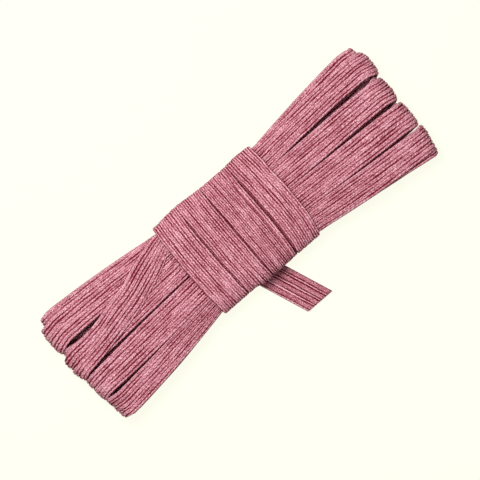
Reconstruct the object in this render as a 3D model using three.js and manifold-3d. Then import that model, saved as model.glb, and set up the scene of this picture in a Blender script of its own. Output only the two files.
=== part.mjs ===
// A hank of flat braided elastic: four columns of looped turns lie side by side, a wrap of the
// same elastic ties them round the middle, and its cut end lies free beside the wrap.
// Millimetres, +X along the hank, +Z up, the surface it lies on at z = 0. The origin is the
// middle of the flat spot under the wrap.
import * as THREE from "three";
import Module from "manifold-3d";

const wasm = await Module();
wasm.setup();

// The elastic.
const ELASTIC_WIDTH = 10;
const ELASTIC_THICK = 1.2;
const RIB_PAIRS = 4; // a wide rib and a thin rib in each pair
const WIDE_RIB_SHARE = 0.6; // of a pair's width
const DEEP_GROOVE = 0.34;
const SHALLOW_GROOVE = 0.2;
const THIN_RIB_DROP = 0.06; // a thin rib's crest lies lower than a wide one's
const EDGE_DROP = 0.5; // at the elastic's two rounded edges

// The bundle of looped turns, seen from the side.
const LAYERS = 3; // turns nested in each column
const NECK_X = 22; // half the length of the gathered middle
const TUCK_X = [17, 20.5]; // inside the wrap the bundle is drawn in
const TUCK = 0.9;
const SPLAY_X = 66; // where the columns have spread to their full places
const NECK_LOW = 2 * ELASTIC_THICK; // the wrap and the cut end's run lie under the neck
const NECK_HIGH = NECK_LOW + 2 * LAYERS * ELASTIC_THICK;
const LOOP_LOW = 0; // the looped ends lie on the surface
const LOOP_HIGH = 9.7;
const LOOP_FULL_X = 58; // where a loop has its full height
const BEND_LENGTH = 4.4; // of a turn's round end, along X
const BEND_ANGLES = [0, 32, 57, 80];
const BEND_RELIEF = 1.5; // the ribs stand out more where the elastic turns round
const SPLAY_CURVE = 0.4; // the columns spread fast beside the neck and then level off
const NECK_ROUND_POWER = 3.2; // the neck's section is a rounded box
const NECK_ROUND_SPAN = 1.03; // its half width, as a share of the outermost edge
const NECK_ROUND_END_X = 53; // where the columns' sections are square again
const DIP_START_X = -67; // a lowered top run: where it starts to dip
const DIP_FULL_X = -58;
const DIP_END_X = [-5, 20]; // and where it rises again, under the wrap
const BEND_CORNER = 0.9; // a turn's round end draws back at the elastic's two edges
const BEND_CORNER_POWER = 5;
const TOP_STATIONS = [-59, -47, -36, -25, -20.5, -17, 17, 20.5, 25, 36, 47, 59];

// The eye inside each looped end.
const EYE_HALF_HEIGHT = 1.15;
const EYE_TIP_X = 36; // where top and bottom runs meet
const EYE_TIP_RISE = 0.4; // how far its tip has come down from the neck's middle height
const EYE_ROUND = 2.4;
const EYE_STEPS = 4;
const EYE_PAST_SIDE = 30; // the outer columns' eyes run out past their sides
const EYE_OVERLAP = 0.1;

// Each band of turns: its rib pairs, how many layers it lies inside the column, the X of its two
// ends, the Y of its +Y and -Y edges at the left end, both necks and the right end, how far its
// bottom run lies to +Y of its top run at each end, and how far its top run is lowered on the
// left half. A band inside a column is only as wide as shows past the outer one.
const BAND_FIELDS = [
  "pairs", "inside", "leftX", "rightX",
  "plusLeft", "plusNeckLeft", "plusNeckRight", "plusRight",
  "minusLeft", "minusNeckLeft", "minusNeckRight", "minusRight",
  "leanLeft", "leanRight", "dip",
];
const BANDS = [
  [4, 0, -72.5, 70.7, 19.2, 17.2, 18.0, 19.8, 9.2, 9.0, 9.0, 10.5, -3.4, -3.7, 0],
  [2, 1, -70.2, 68.7, 21.9, 17.5, 18.2, 23.0, 16.6, 12.4, 13.1, 17.8, -3.0, -3.2, 0],
  [4, 0, -72.9, 69.8, 7.5, 9.5, 9.4, 8.8, -3.2, -0.9, -0.2, -0.9, -1.5, -1.8, 1.15],
  [4, 0, -71.7, 69.5, -3.5, -0.5, 0.2, -1.8, -12.9, -10.4, -9.3, -12.0, -1.0, -0.7, 0],
  [4, 0, -70.4, 69.3, -14.0, -10.0, -8.9, -12.5, -23.1, -16.6, -17.7, -22.2, -0.2, 0, 0],
  [2, 1, -68.9, 68.2, -18.0, -11.6, -12.8, -18.9, -22.9, -16.7, -17.8, -23.9, -0.2, 0, 0],
].map((row) => Object.fromEntries(BAND_FIELDS.map((field, i) => [field, row[i]])));

// The top run that leaves the third loop from the -Y side, crosses its neighbour and goes under
// the wrap: X, then Y and Z of its +Y edge and of its -Y edge.
const CROSSING_FIELDS = ["x", "plusY", "plusZ", "minusY", "minusZ"];
const CROSSING = [
  [-68.5, 7.5, 8.7, -3.1, 8.6],
  [-63.0, 7.6, 9.8, -2.4, 9.6],
  [-55.0, 8.6, 10.0, -0.9, 9.6],
  [-48.0, 10.6, 10.6, 0.4, 9.7],
  [-41.0, 12.0, 10.8, 2.1, 9.8],
  [-35.0, 14.2, 10.6, 4.2, 10.1],
  [-28.0, 16.3, 9.7, 6.9, 10.6],
  [-22.5, 17.4, 8.4, 9.8, 10.7],
  [-19.0, 17.6, 8.0, 11.4, 10.4],
].map((row) => Object.fromEntries(CROSSING_FIELDS.map((field, i) => [field, row[i]])));
const CROSSING_DEPTH = 3.3; // it sinks into the runs that it lies on
const CROSSING_CROWN = 0.35;

// The wrap: its turns along X on the upper side. One strip of an earlier turn shows low between
// the third turn and the last.
const TURN_FIELDS = ["fromX", "toX", "pairs", "level"];
const TURNS = [
  [-22.3, -11.5, 4, 0],
  [-11.5, -1.1, 4, 0],
  [-1.1, 8.1, 4, 0],
  [8.1, 10.9, 1, -0.45],
  [10.9, 21.8, 4, 0],
].map((row) => Object.fromEntries(TURN_FIELDS.map((field, i) => [field, row[i]])));
const WRAP_LOW = 1.75; // its slanting undersides stand below this
const WRAP_HIGH = NECK_HIGH + ELASTIC_THICK;
const WRAP_PLUS_Y = 19.5;
const WRAP_MINUS_Y = -17.9;
const WRAP_STEP_Y = -0.7; // it is wider where the cut end comes out
const WRAP_STEP_X = [-8.5, -5];
const WRAP_FLARE = { x: 16, span: 5, out: 0.4 }; // the last turn stands out on the +Y side
const WRAP_POWER = 3.5; // its section is a rounded box
const WRAP_AROUND = 20;
const WRAP_BOW = 0.05; // its turns bow outwards on the upper side
const WRAP_SLANT = 0.075; // and draw in towards the -Y side
const WRAP_SLANT_POWER = 4;
const WRAP_PLAIN_BELOW = [-0.75, -0.2]; // its ribs fade out here, as a share of its half height
const BULGE = { x: -12, y: 16, spanX: 8, spanY: 9, rise: 0.9 }; // over the crossing run

// Under the wrap the turns slant from one to the next, and the last one runs out to the cut end.
const UNDER_TURNS = [-16.9, -6.3, 4.6]; // the X where each reaches the -Y side
const UNDER_SHIFT = 10.8;
const UNDER_WIDTH = 9.7;
const UNDER_SINK = 1.4;
const UNDER_PROFILE = [[15.6, 1.5], [12.5, 0], [-12.5, 0], [-15.6, 1.5]]; // Y, rise into the side
const END_LEAN = 0.38; // the cut end's run moves this far along X for each step to -Y
const END_AXIS_X = -8.3; // where that run crosses the hank's middle line
const END_START_Y = 13.5;
const END_BREAK_Y = -13.2; // the free end begins here, under the wrap's round side
const END_CUT_Y = -35.5;
const PIECE_GAP = 0.3;
const TAIL_STEPS = 3;
const TAIL_RELIEF = 0.8; // its ribs are pressed a little flat

// The colour of the elastic.
const ELASTIC_COLOUR = 0xb5727d;
const ELASTIC_ROUGHNESS = 0.9;

const RADIANS = Math.PI / 180;
const mix = (a, b, share) => a + (b - a) * share;
const share = (x, a, b) => Math.min(1, Math.max(0, (x - a) / (b - a)));
const ease = (x, a, b) => share(x, a, b) ** 2 * (3 - 2 * share(x, a, b));
const bell = (x, middle, span) => Math.exp(-(((x - middle) / span) ** 2));

// Places across a ribbed width, from 0 to 1, each with how far it lies below the ribs' crests.
function ribPoints(pairs, edge = EDGE_DROP) {
  const points = [];
  for (let i = 0; i < pairs; i++) {
    const wideEnd = i + WIDE_RIB_SHARE;
    points.push([i, i ? DEEP_GROOVE : edge], [mix(i, wideEnd, 0.5), 0]);
    points.push([wideEnd, SHALLOW_GROOVE], [mix(wideEnd, i + 1, 0.5), THIN_RIB_DROP]);
  }
  points.push([pairs, edge]);
  return points.map(([place, below]) => ({ across: place / pairs, below }));
}
const RIBS = ribPoints(RIB_PAIRS);

// A closed solid through sections that all have the same number of points, in order round the
// section. Each end is closed by joining its first half to its second half.
function loft(sections) {
  const count = sections[0].length;
  const faces = [];
  const quad = (a, b, c, d) => faces.push(a, b, c, a, c, d);
  for (let i = 0; i + 1 < sections.length; i++) {
    for (let k = 0; k < count; k++) {
      const next = (k + 1) % count;
      quad(i * count + k, i * count + next, (i + 1) * count + next, (i + 1) * count + k);
    }
  }
  const last = (sections.length - 1) * count;
  for (let k = 0; k + 1 < count / 2; k++) {
    quad(k, count - 1 - k, count - 2 - k, k + 1);
    quad(last + k, last + k + 1, last + count - 2 - k, last + count - 1 - k);
  }
  const places = sections.flat().flatMap((p) => [p.x, p.y, p.z]);
  return new wasm.Manifold(
    new wasm.Mesh({
      numProp: 3,
      vertProperties: new Float32Array(places),
      triVerts: new Uint32Array(faces),
    }),
  );
}

// A section of a flat run: its upper face first, then its lower face back again.
const flatSection = (upper, lower) => [...upper, ...lower.reverse()];

// One edge of a band of turns in plan.
function edgeY(band, edge, x) {
  const neckLeft = band[edge + "NeckLeft"];
  const neckRight = band[edge + "NeckRight"];
  const out = share(Math.abs(x), NECK_X, SPLAY_X);
  const spread = out * (1 + SPLAY_CURVE * (1 - out));
  if (x < -NECK_X) return mix(neckLeft, band[edge + "Left"], spread);
  if (x > NECK_X) return mix(neckRight, band[edge + "Right"], spread);
  const drawn = mix(TUCK, 1, share(Math.abs(x), ...TUCK_X));
  return drawn * mix(neckLeft, neckRight, share(x, -NECK_X, NECK_X));
}

// Share of the full height that is left at a place across the neck's rounded section.
function neckRound(x, y) {
  const outer = BANDS[0];
  const last = BANDS[BANDS.length - 1];
  const plus = edgeY(outer, "plus", x);
  const minus = edgeY(last, "minus", x);
  const half = ((plus - minus) / 2) * NECK_ROUND_SPAN;
  const off = Math.min(1, Math.abs(y - (plus + minus) / 2) / half);
  const rounded = (1 - off ** NECK_ROUND_POWER) ** (1 / NECK_ROUND_POWER);
  return mix(rounded, 1, ease(Math.abs(x), NECK_X, NECK_ROUND_END_X));
}

// The section of one band at one station, at a given share of its height in its round end.
function bandSection(band, x, lift, outward) {
  const full = ease(Math.abs(x), NECK_X, LOOP_FULL_X);
  const inset = band.inside * ELASTIC_THICK;
  const low = mix(NECK_LOW, LOOP_LOW, full) + inset;
  const high = mix(NECK_HIGH, LOOP_HIGH, full) - inset;
  const dip = band.dip * ease(x, DIP_START_X, DIP_FULL_X) * (1 - ease(x, ...DIP_END_X));
  const middle = (low + high) / 2;
  const lean = x < 0 ? band.leanLeft : band.leanRight;
  const relief = mix(1, BEND_RELIEF, Math.abs(outward));
  const face = (side) =>
    ribPoints(band.pairs).map(({ across, below }) => {
      const flatY = mix(edgeY(band, "plus", x), edgeY(band, "minus", x), across);
      const tall = (side > 0 ? high - dip : low) - middle;
      const z = middle + tall * lift * neckRound(x, flatY);
      const turned = lean * full * ((1 - side * lift) / 2);
      const corner = BEND_CORNER * Math.abs(2 * across - 1) ** BEND_CORNER_POWER;
      return new THREE.Vector3(
        x - outward * (below * relief + corner),
        flatY + turned,
        z - side * lift * below * relief,
      );
    });
  return flatSection(face(1), face(-1));
}

// A band of turns: its top run, its bottom run and the round end on either side.
function bandSolid(band) {
  const bend = (end, sign) =>
    BEND_ANGLES.slice(1).map((angle) => {
      const outward = sign * Math.sin(angle * RADIANS);
      const x = end - sign * BEND_LENGTH + BEND_LENGTH * outward;
      return bandSection(band, x, Math.cos(angle * RADIANS), outward);
    });
  return loft([
    ...bend(band.leftX, -1).reverse(),
    ...TOP_STATIONS.map((x) => bandSection(band, x, 1, 0)),
    ...bend(band.rightX, 1),
  ]);
}

// The eye through one looped end of a column, between two places along Y: a drop, round at the
// bend and pointed at the neck.
function eyeSolid(end, fromY, toY) {
  const sign = Math.sign(end);
  const roundX = end - sign * (LAYERS * ELASTIC_THICK + EYE_ROUND);
  const neckMiddle = (NECK_LOW + NECK_HIGH) / 2;
  const loopMiddle = (LOOP_LOW + LOOP_HIGH) / 2;
  const outline = [[sign * EYE_TIP_X, mix(neckMiddle, loopMiddle, EYE_TIP_RISE)]];
  for (let i = 0; i <= EYE_STEPS; i++) {
    const angle = -Math.PI / 2 + (Math.PI * i) / EYE_STEPS;
    const x = roundX + sign * EYE_ROUND * Math.cos(angle);
    outline.push([x, loopMiddle + EYE_HALF_HEIGHT * Math.sin(angle)]);
  }
  const sections = [fromY, toY].map((y) => outline.map(([x, z]) => new THREE.Vector3(x, y, z)));
  return loft(sign < 0 ? sections : sections.reverse());
}

// The eyes of all four columns on one side. Each meets the next between the two columns.
function eyeSolids(side) {
  const columns = BANDS.filter((band) => !band.inside);
  const shift = (band) => band["lean" + side] / 2;
  const bounds = columns.slice(1).map((band, i) => {
    const above = columns[i]["minus" + side] + shift(columns[i]);
    return (above + band["plus" + side] + shift(band)) / 2;
  });
  const edges = [EYE_PAST_SIDE, ...bounds, -EYE_PAST_SIDE];
  const end = side === "Left" ? "leftX" : "rightX";
  return columns.map((band, i) => eyeSolid(band[end], edges[i + 1] - EYE_OVERLAP, edges[i]));
}

// The run that crosses over its neighbour and goes under the wrap.
function crossingSolid() {
  return loft(
    CROSSING.map((row) => {
      const face = (depth) =>
        RIBS.map(({ across, below }) => {
          const z = mix(row.plusZ, row.minusZ, across) - (depth || below);
          const crown = CROSSING_CROWN * Math.sin(Math.PI * across);
          return new THREE.Vector3(row.x, mix(row.plusY, row.minusY, across), z + crown);
        });
      return flatSection(face(0), face(CROSSING_DEPTH));
    }),
  );
}

// One line round the wrap at a place along X, a given depth under the ribs' crests.
function wrapSection(alongX, below) {
  const plus = WRAP_PLUS_Y + WRAP_FLARE.out * bell(alongX, WRAP_FLARE.x, WRAP_FLARE.span);
  const minus = WRAP_MINUS_Y + WRAP_STEP_Y * ease(alongX, ...WRAP_STEP_X);
  const middleY = (plus + minus) / 2;
  const middleZ = (WRAP_LOW + WRAP_HIGH) / 2;
  return Array.from({ length: WRAP_AROUND }, (_, i) => {
    const angle = (2 * Math.PI * (i + 0.5)) / WRAP_AROUND;
    const round = (value) => Math.sign(value) * Math.abs(value) ** (2 / WRAP_POWER);
    const outY = round(Math.cos(angle));
    const outZ = round(Math.sin(angle));
    const upper = ease(outZ, ...WRAP_PLAIN_BELOW);
    const y = middleY + outY * ((plus - minus) / 2 - below * upper);
    const z = middleZ + outZ * ((WRAP_HIGH - WRAP_LOW) / 2 - below * upper);
    const swell = BULGE.rise * bell(alongX, BULGE.x, BULGE.spanX) * bell(y, BULGE.y, BULGE.spanY);
    const side = y / WRAP_PLUS_Y;
    const drawn = side < 0 && alongX > 0 ? WRAP_SLANT * side ** WRAP_SLANT_POWER : 0;
    return new THREE.Vector3(
      alongX * (1 - WRAP_BOW * side ** 2 - drawn),
      y + swell * Math.max(0, outY) * upper,
      z + swell * Math.max(0, outZ),
    );
  });
}

// The wrap: turns side by side with grooves between them.
function wrapSolid() {
  const sections = [];
  TURNS.forEach((turn, i) => {
    const points = ribPoints(turn.pairs);
    points.slice(i ? 1 : 0).forEach(({ across, below }, k, all) => {
      const groove = k === all.length - 1 && i + 1 < TURNS.length;
      const lowest = groove ? Math.min(turn.level, TURNS[i + 1].level) : turn.level;
      sections.push(wrapSection(mix(turn.fromX, turn.toX, across), below - lowest));
    });
  });
  return loft(sections);
}

// A turn's slanting run under the wrap, ribbed below. It reaches the -Y side at a given X.
function underTurn(atX) {
  const slope = UNDER_SHIFT / (2 * UNDER_PROFILE[1][0]);
  const halfX = (UNDER_WIDTH / 2) * Math.hypot(1, slope);
  return loft(
    UNDER_PROFILE.map(([y, rise]) => {
      const axisX = atX + slope * (y + UNDER_PROFILE[1][0]);
      const face = (upper) =>
        RIBS.map(({ across, below }) => {
          const z = ELASTIC_THICK + rise + (upper ? UNDER_SINK : below);
          return new THREE.Vector3(axisX + mix(halfX, -halfX, across), y, z);
        });
      return flatSection(face(true), face(false));
    }),
  );
}

// The last run, pressed flat between the wrap and the surface, up to where the free end begins.
function restRun() {
  const halfX = (ELASTIC_WIDTH / 2) * Math.hypot(1, END_LEAN);
  return loft(
    [END_START_Y, END_BREAK_Y].map((y) => {
      const axisX = END_AXIS_X - END_LEAN * y;
      const corner = (side, z) => new THREE.Vector3(axisX + side * halfX, y, z);
      const high = ELASTIC_THICK + UNDER_SINK;
      return [corner(1, high), corner(-1, high), corner(-1, 0), corner(1, 0)];
    }),
  );
}

// The free end: a flat run on the surface, cut straight across the hank's own direction.
function tailSolid() {
  const halfX = (ELASTIC_WIDTH / 2) * Math.hypot(1, END_LEAN);
  const startY = END_BREAK_Y - PIECE_GAP;
  return loft(
    Array.from({ length: TAIL_STEPS + 1 }, (_, i) => {
      const y = mix(startY, END_CUT_Y, i / TAIL_STEPS);
      const axisX = END_AXIS_X - END_LEAN * y;
      const face = (side) =>
        RIBS.map(({ across, below }) => {
          const z = side > 0 ? ELASTIC_THICK - below * TAIL_RELIEF : 0;
          return new THREE.Vector3(axisX + mix(halfX, -halfX, across), y, z);
        });
      return flatSection(face(1), face(-1));
    }),
  );
}

// The whole hank as one solid.
function hankSolid() {
  let hank = wrapSolid().add(crossingSolid());
  for (const band of BANDS) hank = hank.add(bandSolid(band));
  for (const eye of [...eyeSolids("Left"), ...eyeSolids("Right")]) hank = hank.subtract(eye);
  for (const x of UNDER_TURNS) hank = hank.add(underTurn(x));
  return hank.add(restRun());
}

// A named mesh of a solid, moved so that the flat spot's middle is the origin.
function meshOf(name, solid) {
  const { vertProperties, triVerts } = solid.getMesh();
  const geometry = new THREE.BufferGeometry();
  geometry.setAttribute("position", new THREE.BufferAttribute(vertProperties, 3));
  geometry.setIndex(new THREE.BufferAttribute(triVerts, 1));
  geometry.computeVertexNormals();
  const material = new THREE.MeshStandardMaterial({
    color: ELASTIC_COLOUR,
    roughness: ELASTIC_ROUGHNESS,
    metalness: 0,
  });
  const mesh = new THREE.Mesh(geometry, material);
  mesh.name = name;
  mesh.position.x = -END_AXIS_X;
  return mesh;
}

const group = new THREE.Group();
group.add(meshOf("hank", hankSolid()));
group.add(meshOf("tail", tailSolid()));

export default group;
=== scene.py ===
"""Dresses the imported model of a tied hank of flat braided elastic.

Four columns of looped turns lie side by side, three turns nested in each. The second column's
last top run crosses its neighbour and goes under the wrap. The wrap ties the columns round the
middle, and its cut end lies free beside it. Tables are in millimetres in the hank's own axes,
with x = 0 at the middle of its neck, and meshes are in metres in the model's frame.
"""

import logging
import math
from dataclasses import dataclass
from enum import Enum
from itertools import count
from typing import ClassVar, Mapping, Sequence

import bpy
import numpy as np
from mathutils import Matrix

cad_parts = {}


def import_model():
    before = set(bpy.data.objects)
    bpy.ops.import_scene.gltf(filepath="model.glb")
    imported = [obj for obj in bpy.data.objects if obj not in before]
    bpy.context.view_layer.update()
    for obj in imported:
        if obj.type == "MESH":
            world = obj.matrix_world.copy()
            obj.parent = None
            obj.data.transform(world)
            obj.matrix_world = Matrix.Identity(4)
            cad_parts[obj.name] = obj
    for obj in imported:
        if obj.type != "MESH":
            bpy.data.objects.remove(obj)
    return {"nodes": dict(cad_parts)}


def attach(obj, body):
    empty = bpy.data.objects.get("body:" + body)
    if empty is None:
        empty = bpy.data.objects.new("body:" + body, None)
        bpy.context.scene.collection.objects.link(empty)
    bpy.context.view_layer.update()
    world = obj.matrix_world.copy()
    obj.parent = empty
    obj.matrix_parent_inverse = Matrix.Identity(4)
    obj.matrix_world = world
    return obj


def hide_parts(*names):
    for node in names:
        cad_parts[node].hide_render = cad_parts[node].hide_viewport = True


LOG = logging.getLogger("hank")

MM = 0.001
NECK_MIDDLE_X = 8.3  # of the neck's middle from the model's origin
BODY = "root"

Array = np.ndarray

WAVE_STRETCHES = (1.9, 1.0, 0.53, 0.31)
WAVE_HEIGHT = 2.2  # about the most that the waves of these stretches come to
SEED_STEP = 97  # between one ribbon's waves and the next one's
DRIFT_SEED = 5000  # from which the ribs' drifts count their waves


def share(x: Array, start: float, end: float) -> Array:
    """How far x has come from start to end, held between 0 and 1."""
    return np.clip((np.asarray(x, float) - start) / (end - start), 0.0, 1.0)


def ease(x: Array, start: float, end: float) -> Array:
    """The same share with a soft start and end."""
    part = share(x, start, end)
    return part * part * (3.0 - 2.0 * part)


def mix(a: Array, b: Array, part: Array) -> Array:
    """The place at a given part of the way from a to b."""
    return a + (b - a) * part


def bell(x: Array, middle: float, span: float) -> Array:
    """A smooth hump of height 1 at middle."""
    return np.exp(-(((np.asarray(x, float) - middle) / span) ** 2))


def through(x: Array, knots: Array, values: Array) -> Array:
    """A smooth curve through a table's rows.

    Args:
        x: Places to read, inside the table's range.
        knots: The table's rising places.
        values: What the table says at each.

    Returns:
        The curve's value at each x.
    """
    slopes = np.gradient(values, knots)
    i = np.clip(np.searchsorted(knots, x) - 1, 0, len(knots) - 2)
    step = knots[i + 1] - knots[i]
    t = (x - knots[i]) / step
    rise = values[i] * (2 * t**3 - 3 * t**2 + 1) + values[i + 1] * (3 * t**2 - 2 * t**3)
    return rise + step * (slopes[i] * (t**3 - 2 * t**2 + t) + slopes[i + 1] * (t**3 - t**2))


def wander(along: Array, seed: int, reach: float, loop: float = 0.0) -> Array:
    """A slow, uneven wave between about -1 and 1.

    Args:
        along: Places along a run, in millimetres.
        seed: Which wave.
        reach: Its typical length, in millimetres.
        loop: The length after which it comes back to its start, or 0 if it never does.

    Returns:
        The wave's height at each place.
    """
    rng = np.random.default_rng(seed)
    wave = np.zeros_like(along, dtype=float)
    for stretch in WAVE_STRETCHES:
        turns = 1 / (reach * stretch)
        if loop:
            turns = max(1, round(loop * turns)) / loop
        wave += np.sin(2 * math.pi * (along * turns + rng.random())) * math.sqrt(stretch)
    return wave / WAVE_HEIGHT


@dataclass(frozen=True)
class Braid:
    """The elastic's cross-section: pairs of a wide rib, itself of two, and a thin one.

    rib_shares, crest_drops and crest_highlights hold a value for each rib of a pair, and
    groove_depths and groove_shades one for the groove before it. even_depth and
    even_groove_shade are the grooves' own where all of them are alike. groove_shades,
    even_groove_shade and edge_shade give the painted shade in the grooves and at the edges,
    and crest_highlights the painted highlight along the crests. drift is a share of the width.
    """

    width: float = 10.0
    thick: float = 1.16
    thinnest: float = 0.1
    pairs: int = 4
    rib_shares: tuple[float, ...] = (0.34, 0.34, 0.32)
    groove_depths: tuple[float, ...] = (0.38, 0.16, 0.3)
    groove_shades: tuple[float, ...] = (1.0, 0.6, 0.85)
    crest_drops: tuple[float, ...] = (0.0, 0.0, 0.05)
    crest_highlights: tuple[float, ...] = (0.0, 0.0, 0.06)
    even_depth: float = 0.26
    even_groove_shade: float = 0.72
    edge_depth: float = 0.52
    edge_shade: float = 0.62
    rib_steps: int = 4
    groove_power: float = 2.0
    groove_shade_power: float = 0.75
    unevenness: float = 0.45
    uneven_reach: float = 26.0
    drift: float = 0.011

    @property
    def ribs(self) -> int:
        """How many fine ribs there are across one face."""
        return self.pairs * len(self.rib_shares)

    def face(self) -> dict[str, Array]:
        """One face's points across the width.

        Returns:
            Arrays of the same length: across, from 0 to 1; rib, the place counted in ribs;
            groove, the nearest groove's number; near, 1 in that groove and 0 on a crest;
            crest, how far the rib's crest lies below the highest; and light, the painted highlight
            that makes the rib lighter towards its crest.
        """
        rows: list[tuple[float, float, int, float, float, float]] = []
        place = 0.0
        kinds = len(self.rib_shares)
        for rib in range(self.ribs):
            wide = self.rib_shares[rib % kinds] / self.pairs
            for step in range(self.rib_steps + (rib == self.ribs - 1)):
                part = step / self.rib_steps
                near = abs(2 * part - 1) ** self.groove_power
                # light is a painted highlight along the rib's crest
                drop, light = self.crest_drops[rib % kinds], self.crest_highlights[rib % kinds]
                groove = rib + round(part + 1e-6)
                rows.append((place + wide * part, rib + part, groove, near, drop, light * (1 - near)))
            place += wide
        columns = [np.array(column) for column in zip(*rows)]
        return dict(zip(("across", "rib", "groove", "near", "crest", "light"), columns))

    def every(self, kinds: tuple[float, ...], split: float, edge: float) -> Array:
        """Each groove's value in turn from those of a pair, with the edges' own first and last.

        split says how far the wide ribs part in two.
        """
        wide, middle, thin = kinds
        pair = (wide, middle * split, thin)
        return np.array([edge, *(pair[i % len(pair)] for i in range(1, self.ribs)), edge])


# as the wrap shows it, drawn tight
BRAID = Braid()
# as the looped turns show it, relaxed
LOOPED = Braid(
    rib_shares=(0.28, 0.27, 0.45),
    groove_depths=(0.38, 0.16, 0.34),
    groove_shades=(1.0, 0.6, 0.9),
    crest_highlights=(0.03, 0.0, 0.03),
    unevenness=0.55,
    uneven_reach=19.0,
)
# as the free end shows it
CUT = Braid(
    rib_shares=(0.36, 0.36, 0.28),
    groove_depths=(0.36, 0.16, 0.34),
    crest_drops=(0.06, 0.06, 0.0),
    # a strong painted highlight along the thin ribs
    crest_highlights=(-0.04, -0.04, 0.4),
)
LYING_Z = BRAID.thick / 2 + 0.02  # of the middle of a run that lies flat on the floor


@dataclass
class Ribbon:
    """A run of the elastic, given by the places on its middle surface.

    middles holds the middle surface's places, station by station, each with the points of
    Braid.face across it, so that along x across points out of the elastic's outer face.
    thinning scales its thickness and relief its grooves' depth and their painted shade, split
    says how far the wide ribs part in two, even how alike the grooves are, painted_shade how
    much painted shade darkens it all over, and edge_shade how much painted shade its edges have.
    """

    name: str
    number: int
    middles: Array
    braid: Braid = BRAID
    closed: bool = False
    thinning: Array | float = 1.0
    relief: Array | float = 1.0
    split: float = 1.0
    even: Array | float = 0.0
    painted_shade: Array | float = 0.0
    edge_shade: float = Braid.edge_shade

    def along(self) -> Array:
        """How far each station lies along the run, with the way back to the start if closed."""
        line = self.middles[:, self.middles.shape[1] // 2]
        if self.closed:
            line = np.vstack([line, line[:1]])
        steps = np.linalg.norm(np.diff(line, axis=0), axis=1)
        return np.concatenate([[0.0], np.cumsum(steps)])

    def outward(self) -> Array:
        """The direction out of the outer face at every point."""
        grid = self.middles
        if self.closed:
            run = np.roll(grid, -1, axis=0) - np.roll(grid, 1, axis=0)
        else:
            run = np.gradient(grid, axis=0)
        side = np.gradient(grid, axis=1)
        out = np.cross(side, run)
        return out / np.maximum(np.linalg.norm(out, axis=2, keepdims=True), 1e-9)

    def waves(self, along: Array, seed: int) -> Array:
        """A slow wave along each groove, none of it at the edges."""
        places = along[: len(self.middles)]
        seeds = [seed + SEED_STEP * self.number + k for k in range(self.braid.ribs + 1)]
        reach = self.braid.uneven_reach
        loop = float(along[-1]) if self.closed else 0.0
        rows = np.array([wander(places, own, reach, loop) for own in seeds])
        rows[[0, -1]] = 0.0
        return rows.T

    def drifted(self, face: dict[str, Array], along: Array) -> Array:
        """The middle surface with each rib a little off its even place."""
        drifts = self.braid.drift * self.waves(along, DRIFT_SEED)
        lower = np.minimum(face["rib"].astype(int), self.braid.ribs - 1)
        off = mix(drifts[:, lower], drifts[:, lower + 1], face["rib"] - lower)
        side = np.gradient(self.middles, face["across"], axis=1)
        return self.middles + side * off[:, :, None]

    def build(self, finish: bpy.types.Material) -> bpy.types.Object:
        """Makes the ribbon's mesh from a grid that is rolled up round the cross-section.

        Args:
            finish: The material of the yarn.

        Returns:
            The ribbon, with a UV map of ribs across and millimetres along, and an attribute of
            painted shade, most in the grooves and at the edges, less the painted highlight on the
            crests.
        """
        braid, face = self.braid, self.braid.face()
        along = self.along()
        groove = face["groove"].astype(int)
        strength = (1.0 + braid.unevenness * self.waves(along, 0))[:, groove]
        inner = (groove > 0) & (groove < braid.ribs)
        even = np.reshape(self.even, (-1, 1)) * inner
        depths = braid.every(braid.groove_depths, self.split, braid.edge_depth)[groove]
        depths = mix(depths, braid.even_depth, even)
        middles = self.drifted(face, along)
        below = (strength * face["near"] * depths * self.relief + face["crest"]) * self.thinning
        half = np.maximum(braid.thick / 2 * self.thinning - below, braid.thinnest / 2)
        lift = self.outward() * half[:, :, None]
        upper, lower = middles + lift, (middles - lift)[:, ::-1]
        ring = np.concatenate([upper, lower, upper[:, :1]], axis=1)
        # painted shade: most in the grooves and at the edges and more where the ribs stand out, plus
        # the ribbon's own painted shade, less the painted highlight on the crests
        tones = braid.every(braid.groove_shades, self.split, self.edge_shade)[groove]
        tones = mix(tones, braid.even_groove_shade, even)
        painted_shading = strength * face["near"] ** braid.groove_shade_power * tones * np.sqrt(self.relief)
        painted_shading = painted_shading + self.painted_shade - face["light"]
        painted_shading = np.concatenate([painted_shading, painted_shading[:, ::-1], painted_shading[:, :1]], axis=1)
        if self.closed:
            ring = np.concatenate([ring, ring[:1]])
            painted_shading = np.concatenate([painted_shading, painted_shading[:1]])
        rib = face["rib"]
        around = np.concatenate([rib, 2 * braid.ribs - rib[::-1], [2 * braid.ribs]])
        around = around + 2 * braid.ribs * self.number
        run = along[: len(ring)]
        if self.closed:
            run = run * round(run[-1] / Yarn.stitch) * Yarn.stitch / run[-1]
        piece = rolled_grid(self.name, ring, np.meshgrid(around, run), painted_shading, not self.closed)
        piece.data.materials.append(finish)
        return piece


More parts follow.
